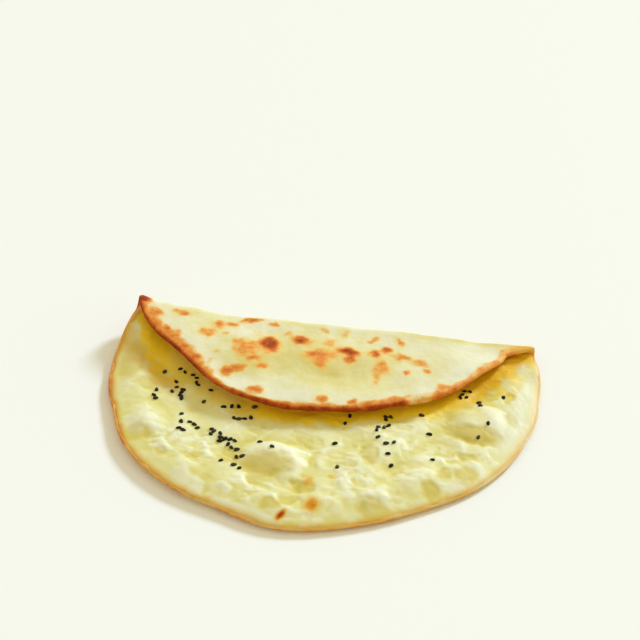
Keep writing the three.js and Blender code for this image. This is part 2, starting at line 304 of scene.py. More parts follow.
def twoSkins(angles, border, centre, upperShares, lowerShares):
    # flat places of an upper and a lower skin that share their border, rings running inwards
    sectors = len(angles)
    shares, sides, places, faces = [], [], [], []
    count = 0

    def addRing(share, side):
        nonlocal count
        shares.append(np.full(sectors, share))
        sides.append(np.full(sectors, side))
        places.append(np.stack([centre[0] + share * border * np.cos(angles),
                                centre[1] + share * border * np.sin(angles)], -1))
        count += sectors
        return np.arange(count - sectors, count)

    borderRing = addRing(1.0, 0.0)
    for side, ringShares in ((1.0, upperShares), (-1.0, lowerShares)):
        near = borderRing
        for share in ringShares:
            far = addRing(share, side)
            quads = np.stack([near, np.roll(near, -1), np.roll(far, -1), far], -1)
            faces.extend((quads if side > 0 else quads[:, ::-1]).tolist())
            near = far
        shares.append(np.zeros(1))
        sides.append(np.full(1, side))
        places.append(np.array([centre], float))
        fan = np.stack([near, np.roll(near, -1), np.full(sectors, count)], -1)
        faces.extend((fan if side > 0 else fan[:, ::-1]).tolist())
        count += 1
    flat = np.concatenate(places)
    return flat[:, 0], flat[:, 1], np.concatenate(sides), np.concatenate(shares), faces


def meshPiece(name, points, faces, material, marks):
    mesh = bpy.data.meshes.new(name)
    mesh.from_pydata(points.tolist(), [], faces)
    mesh.polygons.foreach_set("use_smooth", [True] * len(mesh.polygons))
    for mark, values in marks.items():
        attribute = mesh.attributes.new(mark, "FLOAT", "POINT")
        attribute.data.foreach_set("value", values.astype(np.float32))
    mesh.materials.append(material)
    mesh.update()
    piece = bpy.data.objects.new(name, mesh)
    bpy.context.scene.collection.objects.link(piece)
    triangles = sum(len(polygon.vertices) - 2 for polygon in mesh.polygons)
    print(name, len(mesh.vertices), "points", triangles, "triangles")
    return piece


# Helpers for materials

def rgb(red, green, blue):  # a colour as a screen shows it, 0 to 255
    def linear(value):
        share = value / 255
        return share / 12.92 if share <= 0.04045 else ((share + 0.055) / 1.055) ** 2.4
    return (linear(red), linear(green), linear(blue), 1.0)


class Finish:
    def __init__(self, name):
        self.material = bpy.data.materials.new(name)
        self.material.use_nodes = True
        self.tree = self.material.node_tree
        self.tree.nodes.clear()
        self.shader = self.add("ShaderNodeBsdfPrincipled")
        output = self.add("ShaderNodeOutputMaterial")
        self.tree.links.new(self.shader.outputs["BSDF"], output.inputs["Surface"])
        self.place = self.add("ShaderNodeTexCoord").outputs["Object"]

    def add(self, kind, **settings):
        node = self.tree.nodes.new(kind)
        for key, value in settings.items():
            setattr(node, key, value)
        return node

    def put(self, socket, value):  # a plain value, or another node's output
        if isinstance(value, bpy.types.NodeSocket):
            self.tree.links.new(value, socket)
        else:
            socket.default_value = value

    def give(self, name, value):  # one of the shader's own inputs
        self.put(self.shader.inputs[name], value)

    def mark(self, name):
        return self.add("ShaderNodeAttribute", attribute_name=name).outputs["Fac"]

    def noise(self, size, detail=3.0, rough=0.55):  # size of its lumps in mm
        node = self.add("ShaderNodeTexNoise")
        self.put(node.inputs["Vector"], self.place)
        self.put(node.inputs["Scale"], 1 / (size * mm))
        self.put(node.inputs["Detail"], detail)
        self.put(node.inputs["Roughness"], rough)
        return node.outputs["Fac"]

    def math(self, operation, a, b=0.5, clamp=False):
        node = self.add("ShaderNodeMath", operation=operation, use_clamp=clamp)
        self.put(node.inputs[0], a)
        self.put(node.inputs[1], b)
        return node.outputs[0]

    def spread(self, value, low, high, toLow=0.0, toHigh=1.0):
        node = self.add("ShaderNodeMapRange")
        for key, number in zip(("Value", "From Min", "From Max", "To Min", "To Max"),
                               (value, low, high, toLow, toHigh)):
            self.put(node.inputs[key], number)
        return node.outputs[0]

    def vary(self, noise, low, high):  # most of a noise lies in its middle, which goes from low to high
        return self.spread(noise, 0.3, 0.7, low, high)

    def mix(self, share, first, second):
        node = self.add("ShaderNodeMix", data_type="RGBA")
        self.put(node.inputs["Factor"], share)
        self.put(node.inputs[6], first)
        self.put(node.inputs[7], second)
        return node.outputs[2]

    def ramp(self, value, stops):
        node = self.add("ShaderNodeValToRGB")
        elements = node.color_ramp.elements
        while len(elements) < len(stops):
            elements.new(0.5)
        for element, (position, colour) in zip(elements, stops):
            element.position = position
            element.color = rgb(*colour)
        self.put(node.inputs["Fac"], value)
        return node.outputs["Color"]

    def bump(self, height, depth, strength=1.0, under=None):  # depth in mm
        node = self.add("ShaderNodeBump")
        self.put(node.inputs["Strength"], strength)
        self.put(node.inputs["Distance"], depth * mm)
        self.put(node.inputs["Height"], height)
        if under is not None:
            self.put(node.inputs["Normal"], under)
        return node.outputs["Normal"]

    def surface(self, piece, fine):  # the rest of a piece's finish, with its finest noise
        self.give("Roughness", self.vary(fine, *piece["roughness"]))
        self.give("Specular IOR Level", piece["gloss"])
        weight, radius, scale = piece["softness"]  # light that goes in and comes out again
        self.give("Subsurface Weight", weight)
        self.give("Subsurface Radius", radius)
        self.give("Subsurface Scale", scale * mm)
        size, rough, depth, strength = piece["pores"]
        normal = self.bump(self.noise(size, 5, rough), depth, strength)
        self.give("Normal", self.bump(fine, *piece["speckBump"], normal))


# Bread: the folded round with its toasted underside outwards
bread = {
    "sectors": 700,
    "roundRings": 8,
    "outerStep": (1.15, 92.0),  # ring spacing, and how far in from the rim it holds
    "outerCentreRings": 13,
    "innerStep": (1.6, 16.0),
    "innerCentreRings": 14,
    "waves": ((0.75, 24.0), (0.25, 10.0), (0.08, 3.4)),  # height and size of the skin's unevenness
    "wavesFrom": 5.0,  # it sets in over this much from the rim
    "toastRise": 0.3,
    "rimWobble": (0.25, 7.0, 8.0),  # share of the rim's thickness, size, how far in
    "flapFrom": (30, 46),  # where the base turns into the flap, over v
    # toast spots that show on the flap: u, y, half sizes, tilt, strength
    "flapSpots": [
        (-112, 37, 3.2, 4.2, 0, 0.85), (-103, 26.5, 5.2, 4.2, 0, 0.46), (-88, 30, 5, 3, 5, 0.5),
        (-70, 15, 4.6, 5.2, 0, 0.42), (-65, 25, 2.4, 3.2, 0, 0.52), (-57, 25, 3, 2.2, 0, 0.5),
        (-48, 31, 6.2, 2.2, 8, 0.55), (-34, 29, 2.6, 2.2, 0, 0.5), (-25, 33, 5.6, 1.5, 0, 0.22),
        (-60, 15, 1.7, 2.2, 0, 0.35), (-54, 10, 2.2, 3.2, 0, 0.28), (-62, -3, 2.2, 2.3, 0, 0.28),
        (-46, 3, 7.4, 8, 15, 0.46), (-40, -6, 3.4, 2.6, 0, 0.4), (-33, 9.3, 7.2, 4.2, -62, 0.84),
        (-25, 23, 1.6, 2, 0, 0.35), (-17, 17, 5.6, 3.7, -15, 0.73), (-34, -11, 3.6, 3.8, 0, 0.37),
        (-53, -19, 3.2, 4.4, 0, 0.55), (-47, -15, 4.6, 3.2, 20, 0.5), (-34, -33.5, 4.8, 4, 0, 0.55),
        (-5, 29, 2.2, 2.4, 0, 0.3), (-1, 19, 3.6, 5, 20, 0.34), (-5, 3, 8.4, 5.4, 5, 0.56),
        (-2, -6, 3.2, 3, 0, 0.44), (3, -19, 1.9, 2, 0, 0.24), (3, -34, 3.5, 3.5, 30, 0.52),
        (7, 28, 3, 4.4, 0, 0.3), (11, 10, 5.9, 3.6, -10, 0.83), (13, 3.2, 2.8, 2.2, 0, 0.5),
        (23, 25, 4.6, 2.2, 45, 0.45), (37, 28, 4, 1.9, -45, 0.26), (40, 24, 1.9, 2.4, 0, 0.4),
        (26, 12, 2.6, 3.2, 0, 0.64), (32, 17, 2.6, 2.8, 0, 0.62), (41, 11.5, 5.6, 2.6, -4, 0.42),
        (31, 2.5, 2, 3.4, 0, 0.42), (29, -9, 2.8, 8.6, 8, 0.34), (34, -3, 2.4, 3.4, 0, 0.3),
        (46, -4, 1.9, 3.2, 10, 0.46), (52, 7, 4.6, 2.7, 0, 0.4), (56, 0.5, 1.9, 2.6, 0, 0.42),
        (66, 6, 3.4, 4, 0, 0.22), (-94, 14, 3.2, 3.2, -40, 0.6), (-78, -3, 3.6, 4, -40, 0.45),
        (-72, -9, 2.4, 3, -40, 0.62), (-64, -13, 1.8, 4, -30, 0.34), (20, -35, 2.8, 3.2, 0, 0.5),
        (44, -28, 6.8, 3, 12, 0.5), (67, -13.5, 4.6, 4.2, 20, 0.48), (36, 4, 9, 8, 0, 0.1),
        (-58, 24, 14, 6, 0, 0.1),
    ],
    "underSpots": {  # on the side that the round lies on
        "count": 110,
        "within": 0.92,  # share of the round's area
        "size": (2, 5.5),
        "longer": (1, 1.6),
        "tilt": (-90, 90),
        "strength": (0.3, 0.95),
    },
    "backSpots": {  # round the back of the fold
        "count": 16,
        "halfSpan": 108,
        "shift": (0.1, 0.9),
        "past": (2, 8),  # from where the fold starts
        "size": (1.5, 3.2),
        "longer": (1, 2.2),
        "tilt": (-30, 30),
        "strength": (0.3, 0.75),
    },
    "spotDraw": 11,
    "spotWarp": ((1.3, 6.0, 31, 33), (0.52, 2.6, 32, 34)),
    "spotFades": ((0.77, 1.65, 0.25), (0.23, 3.4, 0.8)),  # core and halo: share, where it ends and is full
    # how far the flap's rim is browned, along the fold
    "rimWidth": [
        (-118, 4.4), (-104, 10.0), (-90, 13.5), (-74, 13.0), (-64, 9.6), (-54, 5.0), (-44, 3.4), (-24, 3.6),
        (-14, 5.4), (16, 5.0), (28, 6.4), (36, 8.0), (48, 9.0), (58, 8.0), (66, 7.4), (75, 5.6), (88, 6.4),
        (100, 8.0), (108, 6.0), (118, 4.0),
    ],
    "rimRagged": ((0.35, 9.0), (0.2, 4.0)),  # share by which that width varies, and over what size
    "rimFull": 0.3,  # share of it that is fully browned
    "rimInside": (5.0, 1.0),  # the same on the flap's cheese side
    # how strongly it is browned, along the fold
    "rimBrowning": [
        (-120, 0.6), (-108, 0.5), (-92, 0.53), (-74, 0.53), (-62, 0.43), (-52, 0.42), (0, 0.5), (46, 0.5),
        (51, 0.28), (59, 0.28), (63, 0.42), (74, 0.38), (92, 0.36), (101, 0.4), (106, 0.28), (118, 0.2),
    ],
    # it is darker towards its lower edge, along the fold
    "rimUnderEdge": [
        (-120, 0.3), (-70, 0.36), (46, 0.34), (51, 0.06), (59, 0.06), (64, 0.22), (84, 0.1), (118, 0.0),
    ],
    "rimUnderWidth": 2.0,
    "baseRim": {  # browning of the rim that lies on the table
        "strength": 0.38,
        "moreLeft": 0.22,
        "under": (5.0, 0.5),  # how far in underneath, and where it is full
        "above": (1.2, 1.0),  # how far in on top, and how much further to the left
        "atRight": 0.5,  # share that is left there
        "uneven": (0.92, 0.25, 11.0),
    },
    "goldenRim": {  # and its golden edge
        "strength": 0.95,
        "depth": (3.6, 1.0),  # where it starts and is full
        "ragged": (0.5, 6.0),
        "atRight": 0.65,
        "uneven": (0.85, 0.4, 15.0),
    },
    "rightSide": (0.5, 0.9),
    "paleEnd": (0.2, (98, 110), (44, 38), (-10, 20)),  # paler rim under the fold's right end, over u and v
    "goldenEnd": (1.0, (94, 106), (26, 36), (58, 49)),  # and the fold golden inside there
    "goldenLeft": (0.9, (-100, -112), (0, 18)),  # as is the bare dough at its left end
    "insideFold": (0.3, (18, 34)),  # the dough that shows inside the fold's ends is browned, over v
    "tone": {  # from pale to yellow
        "least": 0.2,
        "middle": (-6.0, -2.0, 40.0, 19.0),  # the flap's yellowest place, and how far that spreads
        "atMiddle": 0.85,
        "uneven": ((0.25, 30.0), (0.15, 11.0)),
        "paintedHighlightNearRim": (0.3, (16, 5)),  # paler there: a painted highlight inside the flap's rim
        "atBack": (0.6, (30, 36), (50, 44)),  # the back of the fold is yellower, over v
    },
    "toneColours": [(0.0, (235, 235, 209)), (0.5, (229, 223, 163)), (1.0, (214, 200, 118))],
    "goldenColour": (226, 164, 42),
    "toastColours": [
        (0.0, (232, 220, 156)), (0.2, (238, 204, 108)), (0.4, (236, 166, 74)),
        (0.6, (212, 114, 42)), (0.8, (168, 68, 14)), (1.0, (116, 36, 2)),
    ],
    "blotches": (9.0, 0.16),  # size, and how far they shift the tone
    "specks": (1.6, 0.05),  # size, and how far they break up the browning
    "mottle": (4.5, 0.1),
    "toastSets": (0.3, 0.42),  # browning from which it is broken up in full, and shows in full
    "pores": (3.5, 0.6, 0.5, 0.5),  # size and roughness of the noise, depth and strength of the bump
    "speckBump": (0.2, 0.5),
    "roughness": (0.6, 0.78),
    "gloss": 0.18,
    "softness": (0.12, (1.0, 0.6, 0.3), 1.5),
}


def drawnSpot(draw, ranges):  # half sizes, tilt and strength of one spot
    size = draw.uniform(*ranges["size"])
    longer = draw.uniform(*ranges["longer"])
    tilt = draw.uniform(*ranges["tilt"])
    return size * longer, size, tilt, draw.uniform(*ranges["strength"])


def toastSpots():
    spots = []
    for u, y, halfU, halfV, tilt, strength in bread["flapSpots"]:
        spots.append((u, float(overhead(np.array(float(u)), y)), halfU, halfV, -tilt, strength))
    draw = np.random.default_rng(bread["spotDraw"])
    under, back = bread["underSpots"], bread["backSpots"]
    for _ in range(under["count"]):
        angle = draw.uniform(0, 2 * math.pi)
        radius = dough["radius"] * math.sqrt(draw.uniform(0, under["within"]))
        u, v = radius * math.cos(angle), radius * math.sin(angle)
        spot = drawnSpot(draw, under)
        if v < dough["foldOffset"]:
            spots.append((u, v, *spot))
    for k in range(back["count"]):
        share = (k + draw.uniform(*back["shift"])) / back["count"]
        u = lerp(-back["halfSpan"], back["halfSpan"], share)
        v = dough["foldOffset"] + draw.uniform(*back["past"])
        spots.append((u, v, *drawnSpot(draw, back)))
    return spots


def rimField(u, v, depth, outer):  # browning of the rim, stronger and darker on the flap
    strength = stopsAlong(u, bread["rimBrowning"])
    darker = stopsAlong(u, bread["rimUnderEdge"])
    width = stopsAlong(u, bread["rimWidth"]) * (1 + layered(u, v, bread["rimRagged"], 61))
    outside = strength * smooth(depth, width, bread["rimFull"] * width)
    outside = outside + darker * smooth(depth, bread["rimUnderWidth"], 0)
    inside = (strength + darker) * smooth(depth, *bread["rimInside"])
    flapRim = np.where(outer, outside, inside)

    base, toLeft = bread["baseRim"], brownerRim(u, v)
    inTo, furtherLeft = base["above"]
    above = smooth(depth, inTo + furtherLeft * toLeft, 0)
    baseRim = base["strength"] + base["moreLeft"] * toLeft
    baseRim = baseRim * np.where(outer, smooth(depth, *base["under"]), above)
    baseRim = baseRim * lerp(1.0, base["atRight"], rightRim(u, v, *bread["rightSide"]))
    level, varies, size = base["uneven"]
    baseRim = baseRim * (level + varies * lumps(u, v, size, 63))

    rim = lerp(baseRim, flapRim, smooth(v, *bread["flapFrom"]))
    strength, overV = bread["insideFold"]
    rim = np.maximum(rim, strength * ~outer * smooth(v, *overV))
    least, overU, fromFlap, fromBase = bread["paleEnd"]
    return rim * lerp(1, least, smooth(u, *overU) * smooth(v, *fromFlap) * smooth(v, *fromBase))


def goldenField(u, v, depth):
    edge = bread["goldenRim"]
    onBase = 1 - smooth(v, *bread["flapFrom"])
    ragged, size = edge["ragged"]
    golden = edge["strength"] * onBase * smooth(depth + ragged * lumps(u, v, size, 64), *edge["depth"])
    level, varies, size = edge["uneven"]
    golden = golden * (level + varies * lumps(u, v, size, 65))
    golden = golden * lerp(1, edge["atRight"], rightRim(u, v, *bread["rightSide"]))
    strength, overU, fromV, toV = bread["goldenEnd"]
    golden = np.maximum(golden, strength * smooth(u, *overU) * smooth(v, *fromV) * smooth(v, *toV))
    strength, overU, fromV = bread["goldenLeft"]
    return np.maximum(golden, strength * smooth(u, *overU) * smooth(v, *fromV) * onBase)


def toneField(u, v, y, depth):
    tones = bread["tone"]
    onFlap = smooth(v, *bread["flapFrom"])
    middleU, middleY, spreadU, spreadY = tones["middle"]
    fromMiddle = np.hypot((u - middleU) / spreadU, (y - middleY) / spreadY)
    tone = tones["least"] + tones["atMiddle"] * np.exp(-fromMiddle ** 2) * onFlap
    tone = tone + layered(u, v, tones["uneven"], 71)
    # painted highlight: the flap is paler just inside its rim
    paler, fromRim = tones["paintedHighlightNearRim"]
    tone = tone - paler * smooth(depth, *fromRim) * onFlap
    more, fromV, toV = tones["atBack"]
    return tone + more * smooth(v, *fromV) * smooth(v, *toV)


def crustFinish():
    look = Finish("toastedCrust")
    size, shift = bread["blotches"]
    blotch = look.vary(look.noise(size, 4), -shift, shift)
    tone = look.math("ADD", look.mark("tone"), blotch, clamp=True)
    pale = look.ramp(tone, bread["toneColours"])
    pale = look.mix(look.mark("golden"), pale, rgb(*bread["goldenColour"]))

    # toast and rim browning, broken up by the finer noise
    browning = look.math("MAXIMUM", look.mark("toast"), look.mark("rim"))
    size, shift = bread["specks"]
    fine = look.noise(size, 4, 0.65)
    broken = look.math("ADD", browning, look.spread(fine, 0.25, 0.75, -shift, shift))
    size, shift = bread["mottle"]
    broken = look.math("ADD", broken, look.vary(look.noise(size, 2), -shift, shift))
    brokenFrom, shownFrom = bread["toastSets"]
    browned = look.math("MULTIPLY", broken, look.spread(browning, 0.0, brokenFrom))
    toasted = look.ramp(browned, bread["toastColours"])
    look.give("Base Color", look.mix(look.spread(browned, 0.0, shownFrom), pale, toasted))
    look.surface(bread, fine)
    return look.material


def breadPiece():
    radius = dough["radius"]
    angles = np.linspace(0, 2 * math.pi, bread["sectors"], endpoint=False)
    roundTurns = np.linspace(0, math.pi / 2, bread["roundRings"] + 1)[1:]
    edge = dough["rimRounding"] * (1 - np.cos(roundTurns))

    def ringShares(step, reach, centreRings):
        even = np.arange(edge[-1] + step, reach, step)
        last = np.linspace(even[-1], radius, centreRings + 1)[1:-1]
        return 1 - np.concatenate([edge, even, last]) / radius

    u, v, side, _, faces = twoSkins(
        angles, outlineRadius(angles), (0, 0),
        ringShares(*bread["innerStep"], bread["innerCentreRings"]),
        ringShares(*bread["outerStep"], bread["outerCentreRings"]))
    middle, inward, depth = foldedDough(u, v)
    outer = side < 0

    toast = spotField(u, v, toastSpots(), bread["spotWarp"], bread["spotFades"]) * outer
    relief = layered(u, v, bread["waves"], 41) + bread["toastRise"] * toast
    relief = relief * outer * smooth(depth, 0, bread["wavesFrom"])
    share, size, width = bread["rimWobble"]
    wobble = 1 + share * lumps(u, v, size, 51) * smooth(depth, width, 0)
    thinned, sunk = thinnedRim(u, v, depth)
    half = (halfThickness(u, v, depth) - thinned * rounding(depth, dough["rimRounding"])) * wobble
    points = middle + inward * (side * half - sunk - relief)[:, None]
    points[:, 2] = np.maximum(points[:, 2], 0)

    marks = {
        "toast": toast,
        "rim": rimField(u, v, depth, outer),
        "tone": toneField(u, v, points[:, 1], depth),
        "golden": goldenField(u, v, depth),
    }
    piece = meshPiece("bread_folded", toTable(points), faces, crustFinish(), marks)
    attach(piece, "root")
    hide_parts("bread")


# Cheese: the melted layer, which also fills the fold
cheese = {
    "centre": (0.0, 16.0),
    "frontSectors": 540,
    "backSectors": 100,
    "frontSpan": 205.0,
    "edgeRings": (7, 0.03, 1.7),  # count, share of the reach that they take, crowding towards the edge
    "rings": 128,
    "middleRings": (8, 0.3),  # count, share of the reach within which they are coarser
    "bottomRings": 12,
    "thickness": 3.0,
    "least": 0.6,
    "inset": 0.9,
    "insetWander": (0.4, 13.0),
    "skirt": (0.08, 1.6, 17.0),  # share of its thickness at the edge, rounding there, width to the full
    "sunk": 0.15,  # its edge sinks into the dough by this much
    "gap": (0.4, 4.0),  # what it keeps from the dough elsewhere, and how far in from its edge
    "wave": (0.6, 30.0),
    "fillMouth": (5.0, 17.0),
    "endsFrom": 24.0,
    "endsSlope": 0.4,
    "borderSteps": 40,
    "blisters": [  # crest u, v, reach to left, right, front and back, height
        (-7, -75, 30, 10, 21, 11, 3.7), (88, -29, 18, 15, 21, 14, 4), (-110, -14, 11, 11, 22, 16, 0.8),
        (42, -63, 12, 12, 12, 14, 1.6), (33, -97, 16, 16, 11, 13, 1.4), (-66, -97, 18, 18, 11, 13, 1.2),
        (66, -84, 15, 15, 11, 13, 1.3), (-88, -60, 13, 13, 14, 18, 1.0),
    ],
    "blisterWarp": ((1.8, 9.0, 101, 102),),
    "blisterFoot": 0.03,
    "patches": [  # thinner, yellower cheese, and painted shade on the blisters' front sides and in the left strip: u, v, half sizes, tilt, strength
        (-19, -84, 15, 9, -4, 0.75), (86, -43, 15, 7, -6, 0.9), (2, -97, 7, 5, 0, 0.7),
        (-3, -108, 5, 4, 0, 0.65), (-12, -112, 6, 4, -20, 0.7), (33, -67, 5, 8, 20, 0.55),
        (41, -107, 8, 6, 0, 0.7), (74, -76, 4, 5, 0, 0.6), (84, -74, 6, 6, 0, 0.75),
        (68, -89, 6, 5, -20, 0.7), (83, -61, 7, 3, -15, 0.45), (-93, -67, 8, 6, 0, 0.5),
        (-76, -80, 3, 4, 0, 0.5), (-59, -81, 6, 2.5, 0, 0.45), (-39, -78, 7, 7, 0, 0.45),
        (19, -76, 9, 5, -10, 0.25), (104, -25, 4, 5, 30, 0.45), (102, -8, 3, 5, 0, 0.6),
        (-109, -6, 8, 17, 0, 0.6), (-98, -24, 6, 6, 0, 0.5), (88, -8, 9, 5, 20, 0.6),
    ],
    "patchWarp": ((1.6, 8.0, 95, 97), (0.6, 3.0, 96, 98)),
    "patchFades": ((1.0, 1.3, 0.6),),
    "patchDepth": 1.0,
    "ridges": [  # paler cheese that stands up: from u, v to u, v, half width, strength
        (-40, -112, -21, -118, 3.2, 0.8), (-21, -118, -8, -124, 3.0, 0.9),
        (-93, -64, -87, -54, 3.5, 0.8), (-65, -70, -57, -68, 2.6, 0.6),
        (-55, -70, -50, -80, 2.2, 0.7), (21, -88, 27, -100, 3.4, 0.8),
        (-39, -101, -35, -105, 2.4, 0.8), (-32, -95, -24, -102, 2.2, 0.6),
        (86, -65, 93, -69, 3.0, 0.8), (73, -84, 88, -83, 2.4, 0.7),
        (0, -80, -4, -86, 2.6, 0.5), (-62, -96, -51, -104, 4.2, 0.9),
        (-79, -72, -75, -77, 3.0, 0.7), (-88, -60, -81, -63, 3.0, 0.7),
    ],
    "ridgeWarp": ((1.4, 7.0, 131, 133), (0.6, 3.0, 132, 134)),
    "ridgeFade": (1.4, 0.2),  # half widths at which it ends and is full
    "ridgeRise": (0.6, 0.65, 0.15),  # height, paler by, whiter by
    "flecks": {  # small shards of curd that stick out of the front of the cheese
        "size": 6.0,
        "stretch": 1.3,
        "crispness": 18.0,
        "warp": ((1.5, 9.0, 151, 152),),
        "cut": (0.3, 0.75),
        "clumps": (16.0, (-0.1, 0.3)),
        "front": (-40, -66),
        "rise": (0.25, 0.35),  # height, paler by
    },
    "walls": {  # net of low walls that stand between some of the hollows
        "size": 12.0,
        "stretch": 1.25,
        "width": 0.5,
        "warp": ((2.4, 10.0, 111, 113), (0.8, 4.0, 112, 114)),
        "clumps": (17.0, (-0.05, 0.35)),
        "rise": (0.35, 0.1),  # height, paler by
    },
    "wrinkles": {
        "front": (-48, -82),
        "warp": ((3.0, 16.0, 81, 82), (0.5, 5.0, 87, 88)),
        # height at the back and at the front, size, stretch, seed
        "facets": ((0.16, 0.34, 9.0, 1.2, 83), (0.1, 0.14, 4.2, 1.1, 84)),
        "calmLeft": (0.7, (-50, 25)),  # smoother to the left, over u
        "calmAbove": 3.0,  # blisters taller than this are smoother
        "calmBlister": (0.6, (-0.1, 0.3)),
    },
    "crest": {  # what stands above its surroundings is paler and hollows are yellower, partly drier curds and partly painted shade in the hollows
        "step": 1.0,
        "overU": (-135, 135),
        "overV": (-140, 60),
        "blurs": ((0.25, 9.0), (0.9, 3.5)),  # weight, size of the surroundings
        "range": 1.2,
    },
    # it lies lower in front of the flap's ends: depth, u, half width, reach
    "dips": [(1.6, 84.0, 20.0, 14.0), (1.8, -84.0, 26.0, 28.0)],
    "dipFull": 0.4,
    "oilAndShade": {  # oily yellow cheese under the flap, and painted shade of the flap's shadow there
        "reach": [  # how far it comes out from the flap's edge, along the fold
            (-118, 2), (-111, 5), (-105, 16), (-97, 22), (-86, 26), (-76, 22), (-60, 14), (-40, 11),
            (40, 11), (62, 14), (78, 24), (90, 34), (104, 34), (116, 22),
        ],
        "full": [(-104, 0.7), (-92, 0.5), (-76, 0.25), (-60, 0.1)],  # share of that where it is yellowest
        "share": [(-94, 1.0), (-84, 0.82), (-72, 0.72), (-48, 0.72), (-36, 0.92), (-28, 1.0)],  # its strength
        "ragged": (3.0, 9.0),
        "curds": ((1.0, 8.0), (0.7, 4.0)),  # paler lumps in it
        "curdCut": (-0.15, 0.55),
        "curdShare": (0.6, 0.5, (-70, -100)),  # how far they pale it, elsewhere and to the left, over u
        "curdsFrom": (-2, -10),  # from the flap's edge outwards
    },
    # painted shade, a deeper amber, under the flap's right end and out from its left one: strength, over u,
    # over the distance from the flap's edge
    "rightAmberShade": (0.5, (66, 86), (-14, -5)),
    "leftAmberShade": (0.4, (-70, -86), (-24, -17), (-5, -12)),
    "rightSide": (0.84, 0.96),
    "milky": (0.8, (24, 13), (4.0, 14.0)),  # whiter along its right edge: strength, depth, raggedness
    "edge": {  # golden along its edge
        "strength": (0.8, 1.0),  # to the front and to the left
        "atRight": 0.85,
        "width": 4.8,
        "wider": (1.2, 2.0),  # to the left and to the right
        "full": 0.2,
        "ragged": (0.8, 9.0),
    },
    "scorches": [  # u, v, half sizes, tilt, strength
        (9.5, -110, 4.4, 5.4, 0, 0.26), (9.5, -109.5, 2.2, 2.8, 0, 0.36), (-5, -118.5, 1.9, 0.95, 62, 1.0),
        (-5, -118.5, 3.0, 2.0, 62, 0.3), (5, -92, 2.9, 3.4, 0, 0.34), (16, -87, 1.6, 1.6, 0, 0.26),
    ],
    "scorchWarp": ((0.6, 6.0, 31, 33), (0.24, 2.6, 32, 34)),
    # from yellower hollows, partly painted shade, to paler crests
    "curdColours": [
        (0.0, (219, 208, 116)), (0.3, (228, 222, 148)), (0.55, (233, 231, 175)), (1.0, (239, 240, 210)),
    ],
    "milkyColour": (225, 225, 196),
    # olive of the patches, partly painted shade on the blisters' front sides and in the left strip
    "patchAndShadeColour": (0.85, (212, 194, 84)),
    "edgeColours": [
        (0.0, (230, 214, 138)), (0.5, (231, 201, 94)), (0.8, (228, 176, 52)), (1.0, (218, 130, 32)),
    ],
    "edgeShare": 0.9,
    # oily yellow and painted shade under the flap, deepest at the flap's edge
    "oilAndShadeColours": [(0.0, (220, 208, 116)), (0.55, (230, 209, 74)), (1.0, (247, 213, 38))],
    # dark amber of the painted shade at the flap's ends
    "amberShadeColour": (216, 160, 4),
    "scorchColours": [
        (0.0, (228, 208, 108)), (0.28, (230, 184, 62)), (0.52, (220, 138, 20)), (0.8, (184, 76, 16)),
        (1.0, (160, 54, 14)),
    ],
    "blotches": (14.0, 0.12),  # size, and how far they shift the curd's colour
    "specks": (1.8, 0.1),  # size, and how far they break up the scorches
    "scorchShows": (0.05, 0.35),
    "pores": (4.0, 0.55, 0.5, 0.28),  # size and roughness of the noise, depth and strength of the bump
    "speckBump": (0.15, 0.3),
    "roughness": (0.46, 0.62),
    "gloss": 0.3,
    "softness": (0.5, (1.0, 0.7, 0.25), 1.2),
}


def floorAndCeiling(u, y):  # cheese sides of the dough under and over (u, y)
    line, radius = foldLine(u), bendRadius(u)
    half = dough["thickness"] / 2
    underV, overV = np.minimum(y, line), overhead(u, np.minimum(y, line))
    base, _, baseDepth = foldedDough(u, underV)
    flap, _, overDepth = foldedDough(u, overV)
    thinned, sunk = thinnedRim(u, y, baseDepth)
    floor = base[:, 2] + halfThickness(u, underV, baseDepth) - sunk
    floor = floor - thinned * rounding(baseDepth, dough["rimRounding"])
    ceiling = flap[:, 2] - halfThickness(u, overV, overDepth)
    middle = half + radius + cornerLift(u, line)
    reach = np.sqrt(np.maximum(0, (radius - half) ** 2 - (y - line) ** 2))
    inBend = y > line
    return np.where(inBend, middle - reach, floor), np.where(inBend, middle + reach, ceiling)


def blisterCaps(u, v):  # 1 on a blister's crest, 0 along its foot, with its height
    u, v = warped(u, v, cheese["blisterWarp"])
    for crestU, crestV, left, right, front, back, rise in cheese["blisters"]:
        sideways, endways = np.where(u < crestU, left, right), np.where(v < crestV, front, back)
        yield 1 - ((u - crestU) / sideways) ** 2 - ((v - crestV) / endways) ** 2, rise


def cheeseRelief(u, v):
    height, length = cheese["wave"]
    relief = height * swell(u, v, length)
    for cap, rise in blisterCaps(u, v):
        relief = relief + rise * (cap + np.sqrt(cap ** 2 + cheese["blisterFoot"])) / 2
    return relief


# yellow patches; on the blisters' front sides and in the left strip they are painted shade
def patchAndShadeField(u, v):
    return spotField(u, v, cheese["patches"], cheese["patchWarp"], cheese["patchFades"])


def ridgeField(u, v):
    field = np.zeros_like(u)
    warpedU, warpedV = warped(u, v, cheese["ridgeWarp"])
    for startU, startV, endU, endV, half, strength in cheese["ridges"]:
        runU, runV = endU - startU, endV - startV
        along = ((warpedU - startU) * runU + (warpedV - startV) * runV) / (runU ** 2 + runV ** 2)
        along = np.clip(along, 0, 1)
        apart = np.hypot(warpedU - startU - along * runU, warpedV - startV - along * runV) / half
        field = np.maximum(field, strength * smooth(apart, *cheese["ridgeFade"]))
    return field


def fleckField(u, v):
    flecks = cheese["flecks"]
    warpedU, warpedV = warped(u, v, flecks["warp"])
    shards = facets(warpedU, warpedV * flecks["stretch"], flecks["size"], 153, flecks["crispness"])
    size, cut = flecks["clumps"]
    clumps = smooth(lumps(u, v, size, 157), *cut)
    return smooth(shards, *flecks["cut"]) * clumps * smooth(v, *flecks["front"])


